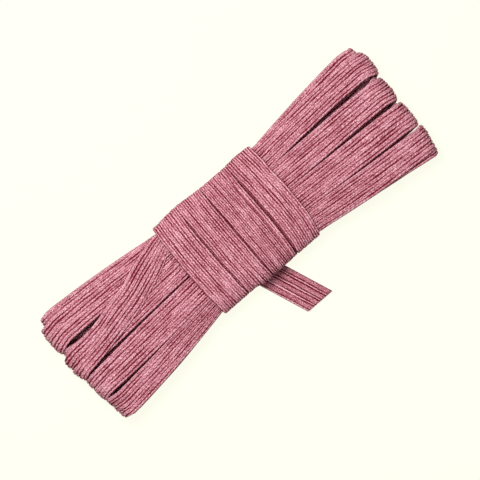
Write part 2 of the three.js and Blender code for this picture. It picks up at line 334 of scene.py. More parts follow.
def rolled_grid(
    name: str, ring: Array, chart: Sequence[Array], painted_shading: Array, capped: bool
) -> bpy.types.Object:
    """Shapes a grid primitive to the given places and closes it where its sides meet.

    Args:
        name: The object's name.
        ring: The places in millimetres, a row of points round the section for each station.
        chart: Each point's place across and along, for the UV map.
        painted_shading: How much painted shade each point has, from the grooves and the edges, less
            the painted highlight on the crests.
        capped: Whether the two ends are closed with a face.

    Returns:
        The closed mesh as an object at the origin.
    """
    rows, points = ring.shape[:2]
    bpy.ops.object.select_all(action="DESELECT")
    bpy.ops.mesh.primitive_grid_add(x_subdivisions=points - 1, y_subdivisions=rows - 1)
    piece = bpy.context.object
    piece.name = piece.data.name = name
    places = ring.reshape(-1, 3) * MM
    places[:, 0] += NECK_MIDDLE_X * MM
    piece.data.vertices.foreach_set("co", places.ravel())
    corners = np.empty(len(piece.data.loops), np.int64)
    piece.data.loops.foreach_get("vertex_index", corners)
    flat = np.stack([chart[0].ravel(), chart[1].ravel()], axis=1)[corners]
    piece.data.uv_layers.active.data.foreach_set("uv", flat.ravel())
    # the groove attribute carries the painted shade and highlight that the material turns into colour
    groove = piece.data.attributes.new("groove", "FLOAT", "POINT")
    groove.data.foreach_set("value", painted_shading.ravel().astype(np.float32))
    bpy.ops.object.mode_set(mode="EDIT")
    bpy.ops.mesh.select_all(action="SELECT")
    bpy.ops.mesh.remove_doubles(threshold=1e-7)
    if capped:
        bpy.ops.mesh.select_all(action="DESELECT")
        bpy.ops.mesh.select_mode(type="EDGE")
        bpy.ops.mesh.select_non_manifold(extend=False)
        bpy.ops.mesh.fill_holes(sides=0)
    bpy.ops.mesh.select_all(action="SELECT")
    bpy.ops.mesh.normals_make_consistent(inside=False)
    bpy.ops.object.mode_set(mode="OBJECT")
    bpy.ops.object.shade_smooth()
    return piece


@dataclass(frozen=True)
class Bundle:
    """The side view of all the columns together.

    squeeze_x, dip_x and even_x say between which distances from the neck's middle the width,
    the height and the grooves change.
    """

    neck_x: float = 22.0
    splay_x: float = 66.0
    splay_curve: float = 0.4
    neck_low: float = 2.4
    neck_high: float = 9.6
    squeezed: float = 0.8
    squeeze_x: tuple[float, float] = (17.0, 20.5)
    dip_x: tuple[float, float] = (18.0, 23.5)
    squeezed_width: float = 0.9
    loop_low: float = 0.0
    loop_high: float = 9.7
    loop_full_x: float = 58.0
    round_power: float = 3.2
    round_span: float = 1.03
    round_end_x: float = 53.0
    layer: float = 1.2
    bend_share: float = 0.907
    bend_relief: float = 0.95
    neck_relief: float = 1.7
    neck_relief_span: float = 2.4
    split: float = 0.3
    even_neck: float = 0.5
    even_x: tuple[float, float] = (34.0, 58.0)
    slide_length: float = 6.5
    slide_power: float = 1.6
    end_round: float = 0.06
    thinnest: float = 0.45
    groove_step: tuple[float, float] = (0.15, 0.85)
    sway: float = 0.1
    sway_reach: float = 60.0
    sway_apart: float = 40.0

    def full(self, x: Array) -> Array:
        """How far the loops have opened to their full height at x."""
        return ease(np.abs(x), self.neck_x, self.loop_full_x)

    def even(self, x: Array) -> Array:
        """How alike the grooves are at x: drawn tight by the neck, and in pairs at the ends."""
        return self.even_neck * (1 - ease(np.abs(x), *self.even_x))

    def heights(self, x: Array) -> list[Array]:
        """The heights of the underside and the upper side at x, squeezed under the wrap."""
        free, full = ease(np.abs(x), *self.dip_x), self.full(x)
        low = (self.neck_low, self.squeezed, self.loop_low)
        high = (self.neck_high, -self.squeezed, self.loop_high)
        return [mix(mix(neck + dip, neck, free), loop, full) for neck, dip, loop in (low, high)]

    def roundness(self, x: Array, y: Array) -> Array:
        """The share of the height that is left at y on the neck's rounded section."""
        plus, minus = OUTER_PLUS.at(x), OUTER_MINUS.at(x)
        middle, half = (plus + minus) / 2, (plus - minus) / 2 * self.round_span
        off = np.clip(np.abs(y - middle) / half, 0.0, 0.995)
        rounded = (1 - off**self.round_power) ** (1 / self.round_power)
        flatter = 1 - self.end_round * off**3
        return mix(rounded, flatter, ease(np.abs(x), self.neck_x, self.round_end_x))


BUNDLE = Bundle()


@dataclass(frozen=True)
class Edge:
    """One edge of a turn in plan: its Y at the left end, both necks and the right end.

    bow_left and bow_right say how far it bows to +Y on its way to either end.
    """

    left: float
    neck_left: float
    neck_right: float
    right: float
    bow_left: float = 0.0
    bow_right: float = 0.0

    def at(self, x: Array) -> Array:
        """The edge's Y at each x."""
        x = np.asarray(x, float)
        out = share(np.abs(x), BUNDLE.neck_x, BUNDLE.splay_x)
        spread = out * (1 + BUNDLE.splay_curve * (1 - out))
        neck = mix(self.neck_left, self.neck_right, share(x, -BUNDLE.neck_x, BUNDLE.neck_x))
        neck = neck * mix(BUNDLE.squeezed_width, 1.0, ease(np.abs(x), *BUNDLE.squeeze_x))
        bow = np.where(x < 0, self.bow_left, self.bow_right) * 4 * out * (1 - out)
        return mix(neck, np.where(x < 0, self.left, self.right), spread) + bow


OUTER_PLUS = Edge(19.2, 17.2, 18.0, 19.8)
OUTER_MINUS = Edge(-23.1, -16.7, -17.8, -22.2)


ROUND_END = (0.9, 0.35, 0.1, 0.0, 0.0, 0.0, 0.0, 0.0, 0.0, 0.0, 0.1, 0.35, 0.9)


@dataclass(frozen=True)
class Turn:
    """One looped turn of a column.

    slide_left and slide_right say how far its round end and its bottom run lie along Y from
    its top run. setback_left and setback_right say how far each groove's round end lies back
    from the farthest one, from the +Y edge to the -Y edge. rise_left is how much higher its
    top run lies by the left neck, relief_left how much its ribs stand out at the left end,
    neck_span how far from the necks they do so, and flare how much wider its ends are.
    """

    column: str
    layer: int
    left_x: float
    right_x: float
    plus: Edge
    minus: Edge
    slide_left: tuple[float, float]
    slide_right: tuple[float, float]
    setback_left: tuple[float, ...] = ROUND_END
    setback_right: tuple[float, ...] = ROUND_END
    rise_left: float = 0.0
    relief_left: float = BUNDLE.bend_relief
    neck_span: float = BUNDLE.neck_relief_span
    flare: float = 0.0

    @property
    def inset(self) -> float:
        """How far its middle surface lies inside the column's outer surface."""
        return (self.layer + 0.5) * BUNDLE.layer

    @property
    def seed(self) -> int:
        """Which wave it sways by."""
        return 11 * self.layer + 101 * ord(self.column)

    def bend(self, x: float) -> float:
        """How far its round end reaches along X, for the loop's height at x."""
        low, high = BUNDLE.heights(x)
        return (float(high - low) / 2 - self.inset) * BUNDLE.bend_share

    def path(self, run_step: float = 1.6, bend_steps: int = 16) -> tuple[Array, Array, Array]:
        """The turn seen from the side, once round from the left end of its top run.

        Args:
            run_step: The distance between stations on the straight runs.
            bend_steps: How many steps each round end has.

        Returns:
            For each station its x, its lift from -1, below, to 1, above, and how far it
            faces along X.
        """
        skin = BUNDLE.layer / 2
        left = self.left_x + skin + self.bend(self.left_x)
        right = self.right_x - skin - self.bend(self.right_x)
        steps = round((right - left) / run_step)
        runs = np.linspace(left, right, steps + 1)
        turning = np.linspace(0, math.pi, bend_steps + 1)[1:-1]
        x = [runs, right + self.bend(self.right_x) * np.sin(turning)]
        x += [runs[::-1], left - self.bend(self.left_x) * np.sin(turning)]
        lift = [np.ones(steps + 1), np.cos(turning), -np.ones(steps + 1), -np.cos(turning)]
        facing = [np.zeros(steps + 1), np.sin(turning), np.zeros(steps + 1), -np.sin(turning)]
        return np.concatenate(x), np.concatenate(lift), np.concatenate(facing)

    def surface(self, x: Array, lift: Array, facing: Array) -> tuple[Array, Array, Array]:
        """The turn's middle surface.

        Args:
            x: Each station's x.
            lift: Its lift, as path gives it.
            facing: How far it faces along X.

        Returns:
            The places, how much the neck's round section thins the elastic there, and how
            much its ribs stand out.
        """
        face = LOOPED.face()
        across = face["across"]
        flat = mix(self.plus.at(x)[:, None], self.minus.at(x)[:, None], across)
        sway = BUNDLE.sway * wander(x + BUNDLE.sway_apart * lift, self.seed, BUNDLE.sway_reach)
        flat = flat + (sway * BUNDLE.full(x))[:, None]
        low, high = BUNDLE.heights(x)
        thin = BUNDLE.roundness(x[:, None], flat)
        rise = self.rise_left * (1 - BUNDLE.full(x)) * (x < 0) * (lift > 0)
        tall = ((high - low) / 2 - self.inset + rise) * lift
        z = ((high + low) / 2)[:, None] + tall[:, None] * thin
        end, under = (np.where(x < 0, *pair) for pair in zip(self.slide_left, self.slide_right))
        tip = np.where(x < 0, -self.left_x, self.right_x) - BUNDLE.layer / 2
        near = (1 - share(tip - np.abs(x), 0.0, BUNDLE.slide_length)) ** BUNDLE.slide_power
        slide = np.where(lift > 0, end * near, mix(under * BUNDLE.full(x), end, near))
        y = flat + slide[:, None] + self.flare * near[:, None] * (0.5 - across)
        rib = np.floor(face["rib"])
        stepped = rib + ease(face["rib"] - rib, *BUNDLE.groove_step)
        setbacks = (self.setback_left, self.setback_right)
        rounded = (np.interp(stepped, range(LOOPED.ribs + 1), back) for back in setbacks)
        setback = np.where(x[:, None] < 0, *rounded)
        places = np.stack([x[:, None] - facing[:, None] * setback, y, z], axis=2)
        tip_relief = np.where(x < 0, self.relief_left, BUNDLE.bend_relief)
        relief = mix(1.0, tip_relief, np.abs(facing))
        relief = mix(relief, BUNDLE.neck_relief, bell(np.abs(x), BUNDLE.neck_x, self.neck_span))
        return places, np.maximum(thin, BUNDLE.thinnest), relief[:, None]

    def ribbon(self, number: int) -> Ribbon:
        """The whole turn as a closed ribbon."""
        places, thin, relief = self.surface(*self.path())
        name = f"turn.{self.column}{self.layer + 1}"
        even = BUNDLE.even(places[:, 0, 0])
        return Ribbon(name, number, places, LOOPED, True, thin, relief, BUNDLE.split, even)


TURNS = [
    Turn(
        "a", 0, -72.5, 70.7,
        OUTER_PLUS, Edge(9.2, 9.0, 9.0, 10.8, 0.0, 0.25),
        (-1.5, -3.4), (-1.2, -3.7),
        (0.9, 0.5, 0.3, 0.1, 0.0, 0.0, 0.0, 0.0, 0.05, 0.1, 0.2, 0.4, 0.8),
        (1.8, 0.9, 0.4, 0.1, 0.0, 0.0, 0.0, 0.05, 0.1, 0.2, 0.35, 0.6, 1.0),
        flare=0.8,
    ),
    Turn(
        "a", 1, -70.2, 68.7,
        Edge(21.9, 17.5, 18.2, 23.0), Edge(12.2, 9.0, 9.2, 13.2),
        (-0.8, -3.0), (-1.0, -3.2),
    ),
    Turn(
        "a", 2, -68.7, 67.2,
        Edge(20.6, 17.3, 18.0, 20.6), Edge(10.8, 9.0, 9.1, 10.9),
        (-1.3, -3.2), (-1.5, -3.4),
    ),
    Turn(
        "b", 1, -71.4, 68.4,
        Edge(7.7, 9.2, 9.2, 8.8), Edge(-2.35, -0.35, -0.1, -0.7, 0.15),
        (1.0, -1.3), (1.0, -1.6),
        rise_left=0.55, neck_span=6.0,
    ),
    Turn(
        "b", 2, -70.0, 67.0,
        Edge(7.4, 9.2, 9.1, 8.6), Edge(-2.2, -0.7, -0.1, -0.9, 0.2),
        (0.3, -1.2), (0.3, -1.5),
        rise_left=0.55,
    ),
    Turn(
        "c", 0, -71.7, 69.5,
        Edge(-3.5, -0.75, 0.1, -1.8, 0.6, 0.25), Edge(-12.9, -10.4, -9.3, -11.8),
        (-0.8, -1.2), (-0.6, -0.9),
        (0.6, 0.3, 0.0, 0.0, 0.2, 0.35, 0.3, 0.3, 0.3, 0.4, 0.5, 0.7, 1.0),
        (0.9, 0.4, 0.1, 0.0, 0.0, 0.0, 0.05, 0.05, 0.1, 0.2, 0.3, 0.5, 1.1),
    ),
    Turn(
        "c", 1, -70.3, 68.1,
        Edge(-3.7, -0.8, 0.0, -2.0, 0.3), Edge(-12.85, -10.4, -9.3, -11.7),
        (0.3, -0.8), (0.4, -0.6),
    ),
    Turn(
        "c", 2, -68.9, 66.7,
        Edge(-3.9, -0.6, 0.0, -2.2, 0.3), Edge(-12.8, -10.4, -9.3, -12.1),
        (-0.3, -0.6), (-0.3, -0.5),
    ),
    Turn(
        "d", 0, -70.7, 69.5,
        Edge(-14.0, -10.3, -9.2, -12.8, 0.4, 0.3), Edge(-23.1, -16.6, -17.7, -22.2, 0.0, -0.3),
        (0.7, -0.2), (0.0, 0.0),
        (0.4, 0.1, 0.0, 0.1, 0.5, 0.5, 0.45, 0.5, 0.6, 0.7, 0.8, 1.0, 1.6),
        (0.9, 0.1, 0.0, 0.0, 0.1, 0.3, 0.5, 0.7, 0.8, 1.0, 1.1, 1.4, 2.2),
    ),
    Turn(
        "d", 1, -68.9, 68.1,
        Edge(-14.0, -10.3, -9.2, -14.2, 0.4), Edge(-22.9, -16.7, -17.8, -23.9, 0.0, 0.6),
        (0.2, -0.2), (0.0, 0.0),
    ),
    Turn(
        "d", 2, -67.5, 66.6,
        Edge(-14.0, -10.3, -9.2, -13.4, 0.4), Edge(-23.0, -16.6, -17.7, -22.9),
        (-0.1, -0.2), (0.0, 0.0),
    ),
]
CROSSED = Turn(
    "b", 0, -73.1, 69.8,
    Edge(7.5, 9.5, 9.4, 9.0, 0.0, 0.1), Edge(-3.2, -0.7, 0.0, -0.5),
    (-1.1, -1.5), (-1.0, -1.8),
    (1.8, 1.7, 0.1, 0.0, 0.2, 0.5, 0.5, 0.2, 0.2, 0.6, 0.9, 1.2, 1.6),
    (0.9, 0.4, 0.2, 0.1, 0.05, 0.05, 0.0, 0.0, 0.1, 0.3, 0.5, 0.8, 1.3),
    relief_left=1.6,
)


# the crossing run's x, with the Y and the height of its +Y edge and of its -Y edge
CROSSING = np.array([
    (-68.5, 7.5, 9.7, -3.2, 9.7),
    (-63.0, 7.6, 9.9, -2.4, 9.5),
    (-55.0, 8.6, 10.1, -0.9, 9.15),
    (-48.0, 10.6, 10.6, 0.4, 9.1),
    (-41.0, 12.0, 10.8, 2.1, 9.2),
    (-35.0, 14.2, 10.6, 4.2, 9.3),
    (-28.0, 16.3, 9.7, 6.9, 9.4),
    (-22.5, 17.4, 8.4, 9.8, 9.4),
    (-19.0, 17.6, 8.0, 11.4, 9.2),
])


@dataclass(frozen=True)
class CrossedTurn:
    """The second column's outer turn, whose last top run crosses over to the wrap.

    start_x is where it begins under the wrap, crown how far the crossing run's middle bulges,
    and firmness how much its ribs stand out by the wrap, from the distances firm_x on.
    """

    turn: Turn = CROSSED
    start_x: float = 6.0
    crown: float = 0.35
    step: float = 1.4
    firmness: float = 1.5
    firm_x: tuple[float, float] = (42.0, 26.0)

    def ribbon(self, number: int) -> Ribbon:
        """The turn from its start under the wrap, once round, to the wrap's left edge."""
        x, lift, facing = self.turn.path()
        begin = int(np.argmax(x >= self.start_x))
        places, thin, relief = self.turn.surface(x[begin:], lift[begin:], facing[begin:])
        run = self.crossing()
        places = np.concatenate([places, run])
        thin = np.concatenate([thin, np.ones(run.shape[:2])])
        firm = mix(1.0, self.firmness, ease(-run[:, :1, 0], *self.firm_x))
        relief = np.concatenate([relief, firm])
        even = BUNDLE.even(places[:, 0, 0])
        even[-len(run):] = 0.0
        return Ribbon("turn.b1", number, places, LOOPED, False, thin, relief, BUNDLE.split, even)

    def crossing(self) -> Array:
        """The crossing run's middle surface."""
        knots, *edges = CROSSING.T
        x = np.linspace(knots[0], knots[-1], round((knots[-1] - knots[0]) / self.step) + 1)
        plus_y, plus_z, minus_y, minus_z = (through(x, knots, edge)[:, None] for edge in edges)
        across = LOOPED.face()["across"]
        crown = self.crown * np.sin(math.pi * across) * ease(x, knots[0], knots[2])[:, None]
        z = mix(plus_z, minus_z, across) + crown - BUNDLE.layer / 2
        y = mix(plus_y, minus_y, across)
        return np.stack([np.broadcast_to(x[:, None], y.shape), y, z], axis=2)


@dataclass(frozen=True)
class WrapTurn:
    """One turn of the wrap: where its left and right edges lie on the upper side."""

    left: float
    right: float

    @property
    def middle(self) -> float:
        """Its centre line's x."""
        return (self.left + self.right) / 2

    @property
    def half(self) -> float:
        """Half its width along X."""
        return (self.right - self.left) / 2


@dataclass(frozen=True)
class Wrap:
    """The turns that tie the hank, and the last run under them."""

    turns: tuple[WrapTurn, ...] = (
        WrapTurn(11.25, 21.8),
        WrapTurn(-0.75, 8.1),
        WrapTurn(-11.25, -1.25),
        WrapTurn(-22.3, -11.7),
    )
    first_layer: tuple[WrapTurn, ...] = (
        WrapTurn(-19.3, -9.4),
        WrapTurn(-9.2, 0.7),
        WrapTurn(0.8, 10.45),
        WrapTurn(10.6, 20.8),
    )
    # the first layer's turn that shows as a strip
    raised: int = 2
    raised_by: float = 0.85
    raised_x: tuple[float, float] = (7.2, 9.0)
    wider_by: float = 0.6
    wider_side: tuple[float, float] = (0.3, 0.9)
    flush: float = 0.9
    # painted shade on the strip near the edge that the outer turn covers, fading out over strip_x
    strip_painted_shade: float = 0.6
    strip_x: tuple[float, float] = (8.0, 9.1)
    # the section and its bulge, which is given by x, span, y, span and rise
    low: float = 1.2
    high: float = 10.8
    plus_y: float = 19.5
    minus_y: float = -17.9
    step_y: float = -0.7
    step_x: tuple[float, float] = (-8.5, -5.0)
    flare: tuple[float, float, float] = (16.0, 5.0, 0.4)
    power: float = 3.5
    bow: float = 0.05
    slant: float = 0.075
    slant_power: float = 4.0
    swell: tuple[float, float, float, float, float] = (-12.0, 8.0, 16.0, 9.0, 0.9)
    around: int = 64
    # how much wider the turns are down each side, and between which shares of the way
    closing_plus: tuple[float, float, float] = (0.27, 0.2, 0.85)
    closing_minus: tuple[float, float, float] = (0.12, 0.6, 0.95)
    # the height, reach and station spacing of the waves in the turns' width
    wavering: tuple[float, float, float] = (0.08, 7.0, 1.5)
    relief: float = 1.1
    # painted shade at the edges of the wrap's turns, and all over the first layer's hidden turns,
    # which show only in the gaps
    edge_shade: float = 1.0
    hidden_painted_shade: float = 0.45
    layer_gap: float = 0.05
    # the hidden start of the outer layer and the runs beneath
    start_angle: float = -0.3 * math.pi
    start_lag: float = 3.0
    start_rise: tuple[float, float] = (0.2, 0.8)
    under_gap: float = 0.2
    # the last run, which leans and lies flat
    end_angle: float = -0.42 * math.pi
    end_settle: float = 3.0
    end_lean: float = 0.38
    end_axis_x: float = -8.3
    end_y: float = -13.2

    def surface(
        self, x: Array, angle: Array, inset: Array | float, low: float | None = None
    ) -> Array:
        """Places round the wrap's section.

        Args:
            x: Places along the hank.
            angle: Places round the section: 0 on the +Y side and a right angle on top.
            inset: The depth under the outer surface.
            low: The height of the underside, if it isn't the wrap's own.

        Returns:
            The places as points.
        """
        flare_x, flare_span, flare_out = self.flare
        plus = self.plus_y + flare_out * bell(x, flare_x, flare_span)
        minus = self.minus_y + self.step_y * ease(x, *self.step_x)
        middle_y, middle_z = (plus + minus) / 2, (self.low + self.high) / 2
        ways = (np.cos(angle), np.sin(angle))
        out_y, out_z = (np.sign(way) * np.abs(way) ** (2 / self.power) for way in ways)
        tall = np.where(out_z > 0, self.high - middle_z, middle_z - (self.low if low is None else low))
        y = middle_y + out_y * ((plus - minus) / 2 - inset)
        z = middle_z + out_z * (tall - inset)
        swell_x, span_x, swell_y, span_y, rise = self.swell
        swell = rise * bell(x, swell_x, span_x) * bell(y, swell_y, span_y)
        side = y / self.plus_y
        drawn = np.where((side < 0) & (x > 0), self.slant * np.abs(side) ** self.slant_power, 0.0)
        y = y + swell * np.maximum(out_y, 0)
        z = z + swell * np.maximum(out_z, 0)
        return np.stack([x * (1 - self.bow * side**2 - drawn), y, z], axis=-1)

    def angles(self) -> tuple[Array, Array]:
        """Stations evenly spaced round the section.

        Returns:
            The angles over the top, from the -Y side to the +Y side, and those back beneath.
        """
        fine = np.linspace(math.pi, -math.pi, 1441)
        line = self.surface(np.zeros_like(fine), fine, BRAID.thick / 2)
        length = np.concatenate([[0], np.cumsum(np.linalg.norm(np.diff(line, axis=0), axis=1))])
        even = np.interp(np.linspace(0, length[-1], self.around + 1), length, fine)
        return even[even >= 0], even[even < 0]

    def stations(self) -> tuple[Array, Array, Array, Array]:
        """The visible turns from right to left, up to where the last one goes down.

        Returns:
            For each station its angle, its centre line's x, its half width along X and its
            extra depth.
        """
        over, under = self.angles()
        first, start = self.turns[0], under[under < self.start_angle]
        part = share(np.arange(len(start)), 0, len(start) - 1)
        sunk = BUNDLE.layer * (1 - ease(part, *self.start_rise))
        x = mix(first.middle - self.start_lag, first.middle, part)
        pieces: list[tuple[Array | float, ...]] = [(start, x, first.half, sunk)]
        part = share(np.arange(len(under)), -1, len(under))
        for i, turn in enumerate(self.turns):
            pieces.append((over, turn.middle, turn.half, 0.0))
            for following in self.turns[i + 1 : i + 2]:
                slope = (turn.middle - following.middle) / (self.plus_y - self.minus_y)
                wide = math.hypot(1, slope) * (BRAID.width - self.under_gap) / 2
                half = mix(mix(turn.half, following.half, part), wide, np.sin(math.pi * part))
                pieces.append((under, mix(turn.middle, following.middle, part), half, 0.0))
        columns = zip(*(np.broadcast_arrays(*piece) for piece in pieces))
        return tuple(np.concatenate(column) for column in columns)

    def ribbon(self, number: int) -> Ribbon:
        """The visible turns and the last run under them as one ribbon."""
        across = BRAID.face()["across"]
        angle, x, half, depth = self.stations()
        side = np.cos(angle) * (np.sin(angle) > 0)
        for way, (wider, start, end) in ((1, self.closing_plus), (-1, self.closing_minus)):
            half = half + wider * ease(way * side, start, end)
        waver, reach, spacing = self.wavering
        half = half + waver * wander(spacing * np.arange(len(half)), number, reach)
        plan = x[:, None] + (2 * across - 1) * half[:, None]
        places = self.surface(plan, angle[:, None], BRAID.thick / 2 + depth[:, None])
        places = np.concatenate([places, self.last_run()])
        return Ribbon("wrap.turns", number, places, relief=self.relief, edge_shade=self.edge_shade)

    @property
    def end_half(self) -> float:
        """Half the last run's width along X, where it leans."""
        return math.hypot(1, self.end_lean) * BRAID.width / 2

    def lying(self, y: float, off: Array, z: Array | float) -> Array:
        """A row of the last run where it lies flat, with off from -1 to 1 across it."""
        plan = self.end_axis_x - self.end_lean * y + off * self.end_half
        return np.stack(np.broadcast_arrays(plan, y, z), axis=1)

    def last_run(self, steps: int = 14, flat_steps: int = 16) -> Array:
        """The run that goes down the +Y side and flat under the wrap to the free end."""
        off = 2 * BRAID.face()["across"] - 1
        last = self.turns[-1]
        down = np.linspace(0, self.end_angle, steps + 1)[1:]
        part = ease(down, 0.0, down[-1])
        rows = []
        for angle, gone in zip(down, part):
            half = mix(last.half, self.end_half, gone)
            plan = last.middle + off * half
            place = self.surface(plan, np.full(len(off), angle), BRAID.thick / 2, 0.0)
            axis = self.end_axis_x - self.end_lean * place[:, 1]
            place[:, 0] = mix(place[:, 0], axis + off * half, gone)
            rows.append(place)
        begin = float(rows[-1][:, 1].mean())
        for y in np.linspace(begin, self.end_y, flat_steps + 1)[1:]:
            settled = float(share(y, begin, begin - self.end_settle))
            rows.append(self.lying(y, off, mix(rows[steps - 1][:, 2], LYING_Z, settled)))
        return np.array(rows)

    def first_ribbon(self, turn: int, number: int) -> Ribbon:
        """A turn of the layer underneath.

        Args:
            turn: Which one, from the left. The raised one shows as a strip between two
                turns of the outer layer.
            number: The ribbon's number.

        Returns:
            The turn as a closed ribbon.
        """
        over, under = self.angles()
        angle = np.concatenate([over, under[:-1]])[:, None]
        own = self.first_layer[turn]
        part = BRAID.face()["across"]
        # painted shade all over a hidden turn, seen only in the gaps
        wider, level, painted_shade = 0.0, -BUNDLE.layer - self.layer_gap, self.hidden_painted_shade
        if turn == self.raised:
            side = np.cos(angle) * np.sign(np.sin(angle))
            wider = self.wider_by * ease(side, *self.wider_side)
        plan = mix(own.left, own.right + wider, part) + 0 * angle
        if turn == self.raised:
            rise = self.raised_by * share(plan, *self.raised_x)
            rest = self.flush * np.abs(np.cos(angle)) ** 3
            level = level + rise * (1 + rest * (BUNDLE.layer - self.raised_by) / self.raised_by)
            # painted shade on the strip, darkest where the outer turn covers it
            painted_shade = self.strip_painted_shade * (1 - ease(plan, *self.strip_x))
        places = self.surface(plan, angle, BRAID.thick / 2 - level)
        name = f"wrap.first{turn + 1}"
        return Ribbon(name, number, places, closed=True, painted_shade=painted_shade, edge_shade=self.edge_shade)


@dataclass(frozen=True)
class FreeEnd:
    """The cut end beside the wrap, a flat sheet on the surface."""

    wrap: Wrap
    start_y: float = -13.5
    cut_y: float = -35.5
    step: float = 1.0
    relief: float = 1.2
    split: float = 0.2

    @property
    def length(self) -> float:
        """Its length along its own axis."""
        return (self.start_y - self.cut_y) * math.hypot(1, self.wrap.end_lean)

    def ribbon(self, number: int) -> Ribbon:
        """The free end, cut straight across the hank's own direction."""
        off = 1 - 2 * CUT.face()["across"]
        stations = round((self.start_y - self.cut_y) / self.step)
        run = np.linspace(self.start_y, self.cut_y, stations)
        places = np.array([self.wrap.lying(y, off, LYING_Z) for y in run])
        return Ribbon("tail.ribbon", number, places, CUT, relief=self.relief, split=self.split)


@dataclass(frozen=True)
class Graph:
    """Lays nodes in one tree and joins them."""

    tree: bpy.types.NodeTree

    def node(self, kind: str, **settings: object) -> bpy.types.Node:
        """Adds a node with the given settings."""
        made = self.tree.nodes.new(kind)
        for name, value in settings.items():
            setattr(made, name, value)
        return made

    def feed(self, socket: bpy.types.NodeSocket, value: object) -> None:
        """Joins another node's socket to this one, or sets this one's value."""
        if isinstance(value, bpy.types.NodeSocket):
            self.tree.links.new(value, socket)
        else:
            socket.default_value = value

    def give(self, node: bpy.types.Node, values: Mapping[str, object]) -> bpy.types.Node:
        """Feeds a node's inputs by their names and gives it back."""
        for name, value in values.items():
            self.feed(node.inputs[name], value)
        return node

    def result(self, kind: str, *values: object, **settings: object) -> bpy.types.NodeSocket:
        """Adds a node, feeds its inputs in order and gives its first output."""
        made = self.node(kind, **settings)
        for socket, value in zip(made.inputs, values):
            self.feed(socket, value)
        return made.outputs[0]

    def math(self, operation: str, *values: object) -> bpy.types.NodeSocket:
        """Adds a Math node and gives its result."""
        return self.result("ShaderNodeMath", *values, operation=operation)

    def noise(self, vector: object, scale: float, detail: float) -> bpy.types.NodeSocket:
        """A noise texture's value at a vector."""
        made = self.node("ShaderNodeTexNoise", noise_dimensions="3D")
        return self.give(made, {"Vector": vector, "Scale": scale, "Detail": detail}).outputs["Fac"]


class Effect(Enum):
    """The shared effects, each a node group with one output."""

    STITCHES = "braid stitches"
    GRAIN = "fibre grain"
    TONE = "rib tone"


@dataclass(frozen=True)
class Yarn:
    """The finish of the braided yarn.

    The colours run from the grooves' dark, their painted shade, to the crests' light, their
    painted highlight, with shaded_at and plain_at the places of the two between. level is the
    plain yarn's own place among them, and groove_shade_loss how far the painted shade in the
    grooves pulls it down.
    """

    name: str
    dark: tuple[float, float, float] = (0.13, 0.007, 0.014)
    shaded: tuple[float, float, float] = (0.255, 0.05, 0.07)
    plain: tuple[float, float, float] = (0.53, 0.211, 0.262)
    light: tuple[float, float, float] = (0.82, 0.5, 0.555)
    shaded_at: float = 0.3
    plain_at: float = 0.62
    level: float = 0.7
    groove_shade_loss: float = 0.8
    grain_gain: float = 1.95
    tone_gain: float = 0.35
    stitch_gain: float = 0.1
    roughness: float = 0.9
    sheen: float = 0.04
    sheen_roughness: float = 0.5
    sheen_tint: tuple[float, float, float] = (0.75, 0.28, 0.36)
    specular: float = 0.03
    bump: float = 0.00016
    grain_relief: float = 0.5
    stitch: ClassVar[float] = 1.6

    def build(self) -> bpy.types.Material:
        """Builds the yarn's material.

        Returns:
            A material that reads the ribbon's UV map and its groove attribute of painted shade.
        """
        material = bpy.data.materials.new(self.name)
        material.use_nodes = True
        graph = Graph(material.node_tree)
        shader = material.node_tree.nodes["Principled BSDF"]
        chart = graph.node("ShaderNodeSeparateXYZ")
        graph.feed(chart.inputs[0], graph.node("ShaderNodeUVMap").outputs["UV"])
        across, along = chart.outputs["X"], chart.outputs["Y"]
        place = graph.node("ShaderNodeTexCoord").outputs["Object"]
        groove = graph.node("ShaderNodeAttribute", attribute_name="groove").outputs["Fac"]
        beads = effect(graph, Effect.STITCHES, Across=across, Along=along)
        grain = effect(graph, Effect.GRAIN, Place=place)
        tone = effect(graph, Effect.TONE, Across=across, Along=along)
        # painted shade: the groove attribute pulls the colour towards the dark end
        level = graph.math("MULTIPLY_ADD", groove, -self.groove_shade_loss, self.level)
        gains = (grain, self.grain_gain), (tone, self.tone_gain), (beads, self.stitch_gain)
        for value, gain in gains:
            centred = graph.math("SUBTRACT", value, 0.5)
            level = graph.math("MULTIPLY_ADD", centred, gain, level)
        ramp = graph.node("ShaderNodeValToRGB")
        stops = ramp.color_ramp.elements
        stops[0].color, stops[1].color = (*self.dark, 1.0), (*self.light, 1.0)
        for position, colour in ((self.shaded_at, self.shaded), (self.plain_at, self.plain)):
            stops.new(position).color = (*colour, 1.0)
        graph.feed(ramp.inputs[0], level)
        relief = graph.math("MULTIPLY_ADD", grain, self.grain_relief, beads)
        bump = graph.give(graph.node("ShaderNodeBump"), {"Distance": self.bump, "Height": relief})
        finish = {
            "Base Color": ramp.outputs["Color"],
            "Normal": bump.outputs["Normal"],
            "Roughness": self.roughness,
            "Specular IOR Level": self.specular,
            "Sheen Weight": self.sheen,
            "Sheen Roughness": self.sheen_roughness,
            "Sheen Tint": (*self.sheen_tint, 1.0),
        }
        graph.give(shader, finish)
        return material


def effect(graph: Graph, kind: Effect, **values: object) -> bpy.types.NodeSocket:
    """Places a shared effect in a material.

    Args:
        graph: The material's tree.
        kind: Which effect.
        values: What its inputs are fed.

    Returns:
        The effect's value.
    """
    group = bpy.data.node_groups.get(kind.value)
    if group is None:
        group = new_group(kind)
    return graph.give(graph.node("ShaderNodeGroup", node_tree=group), values).outputs[0]


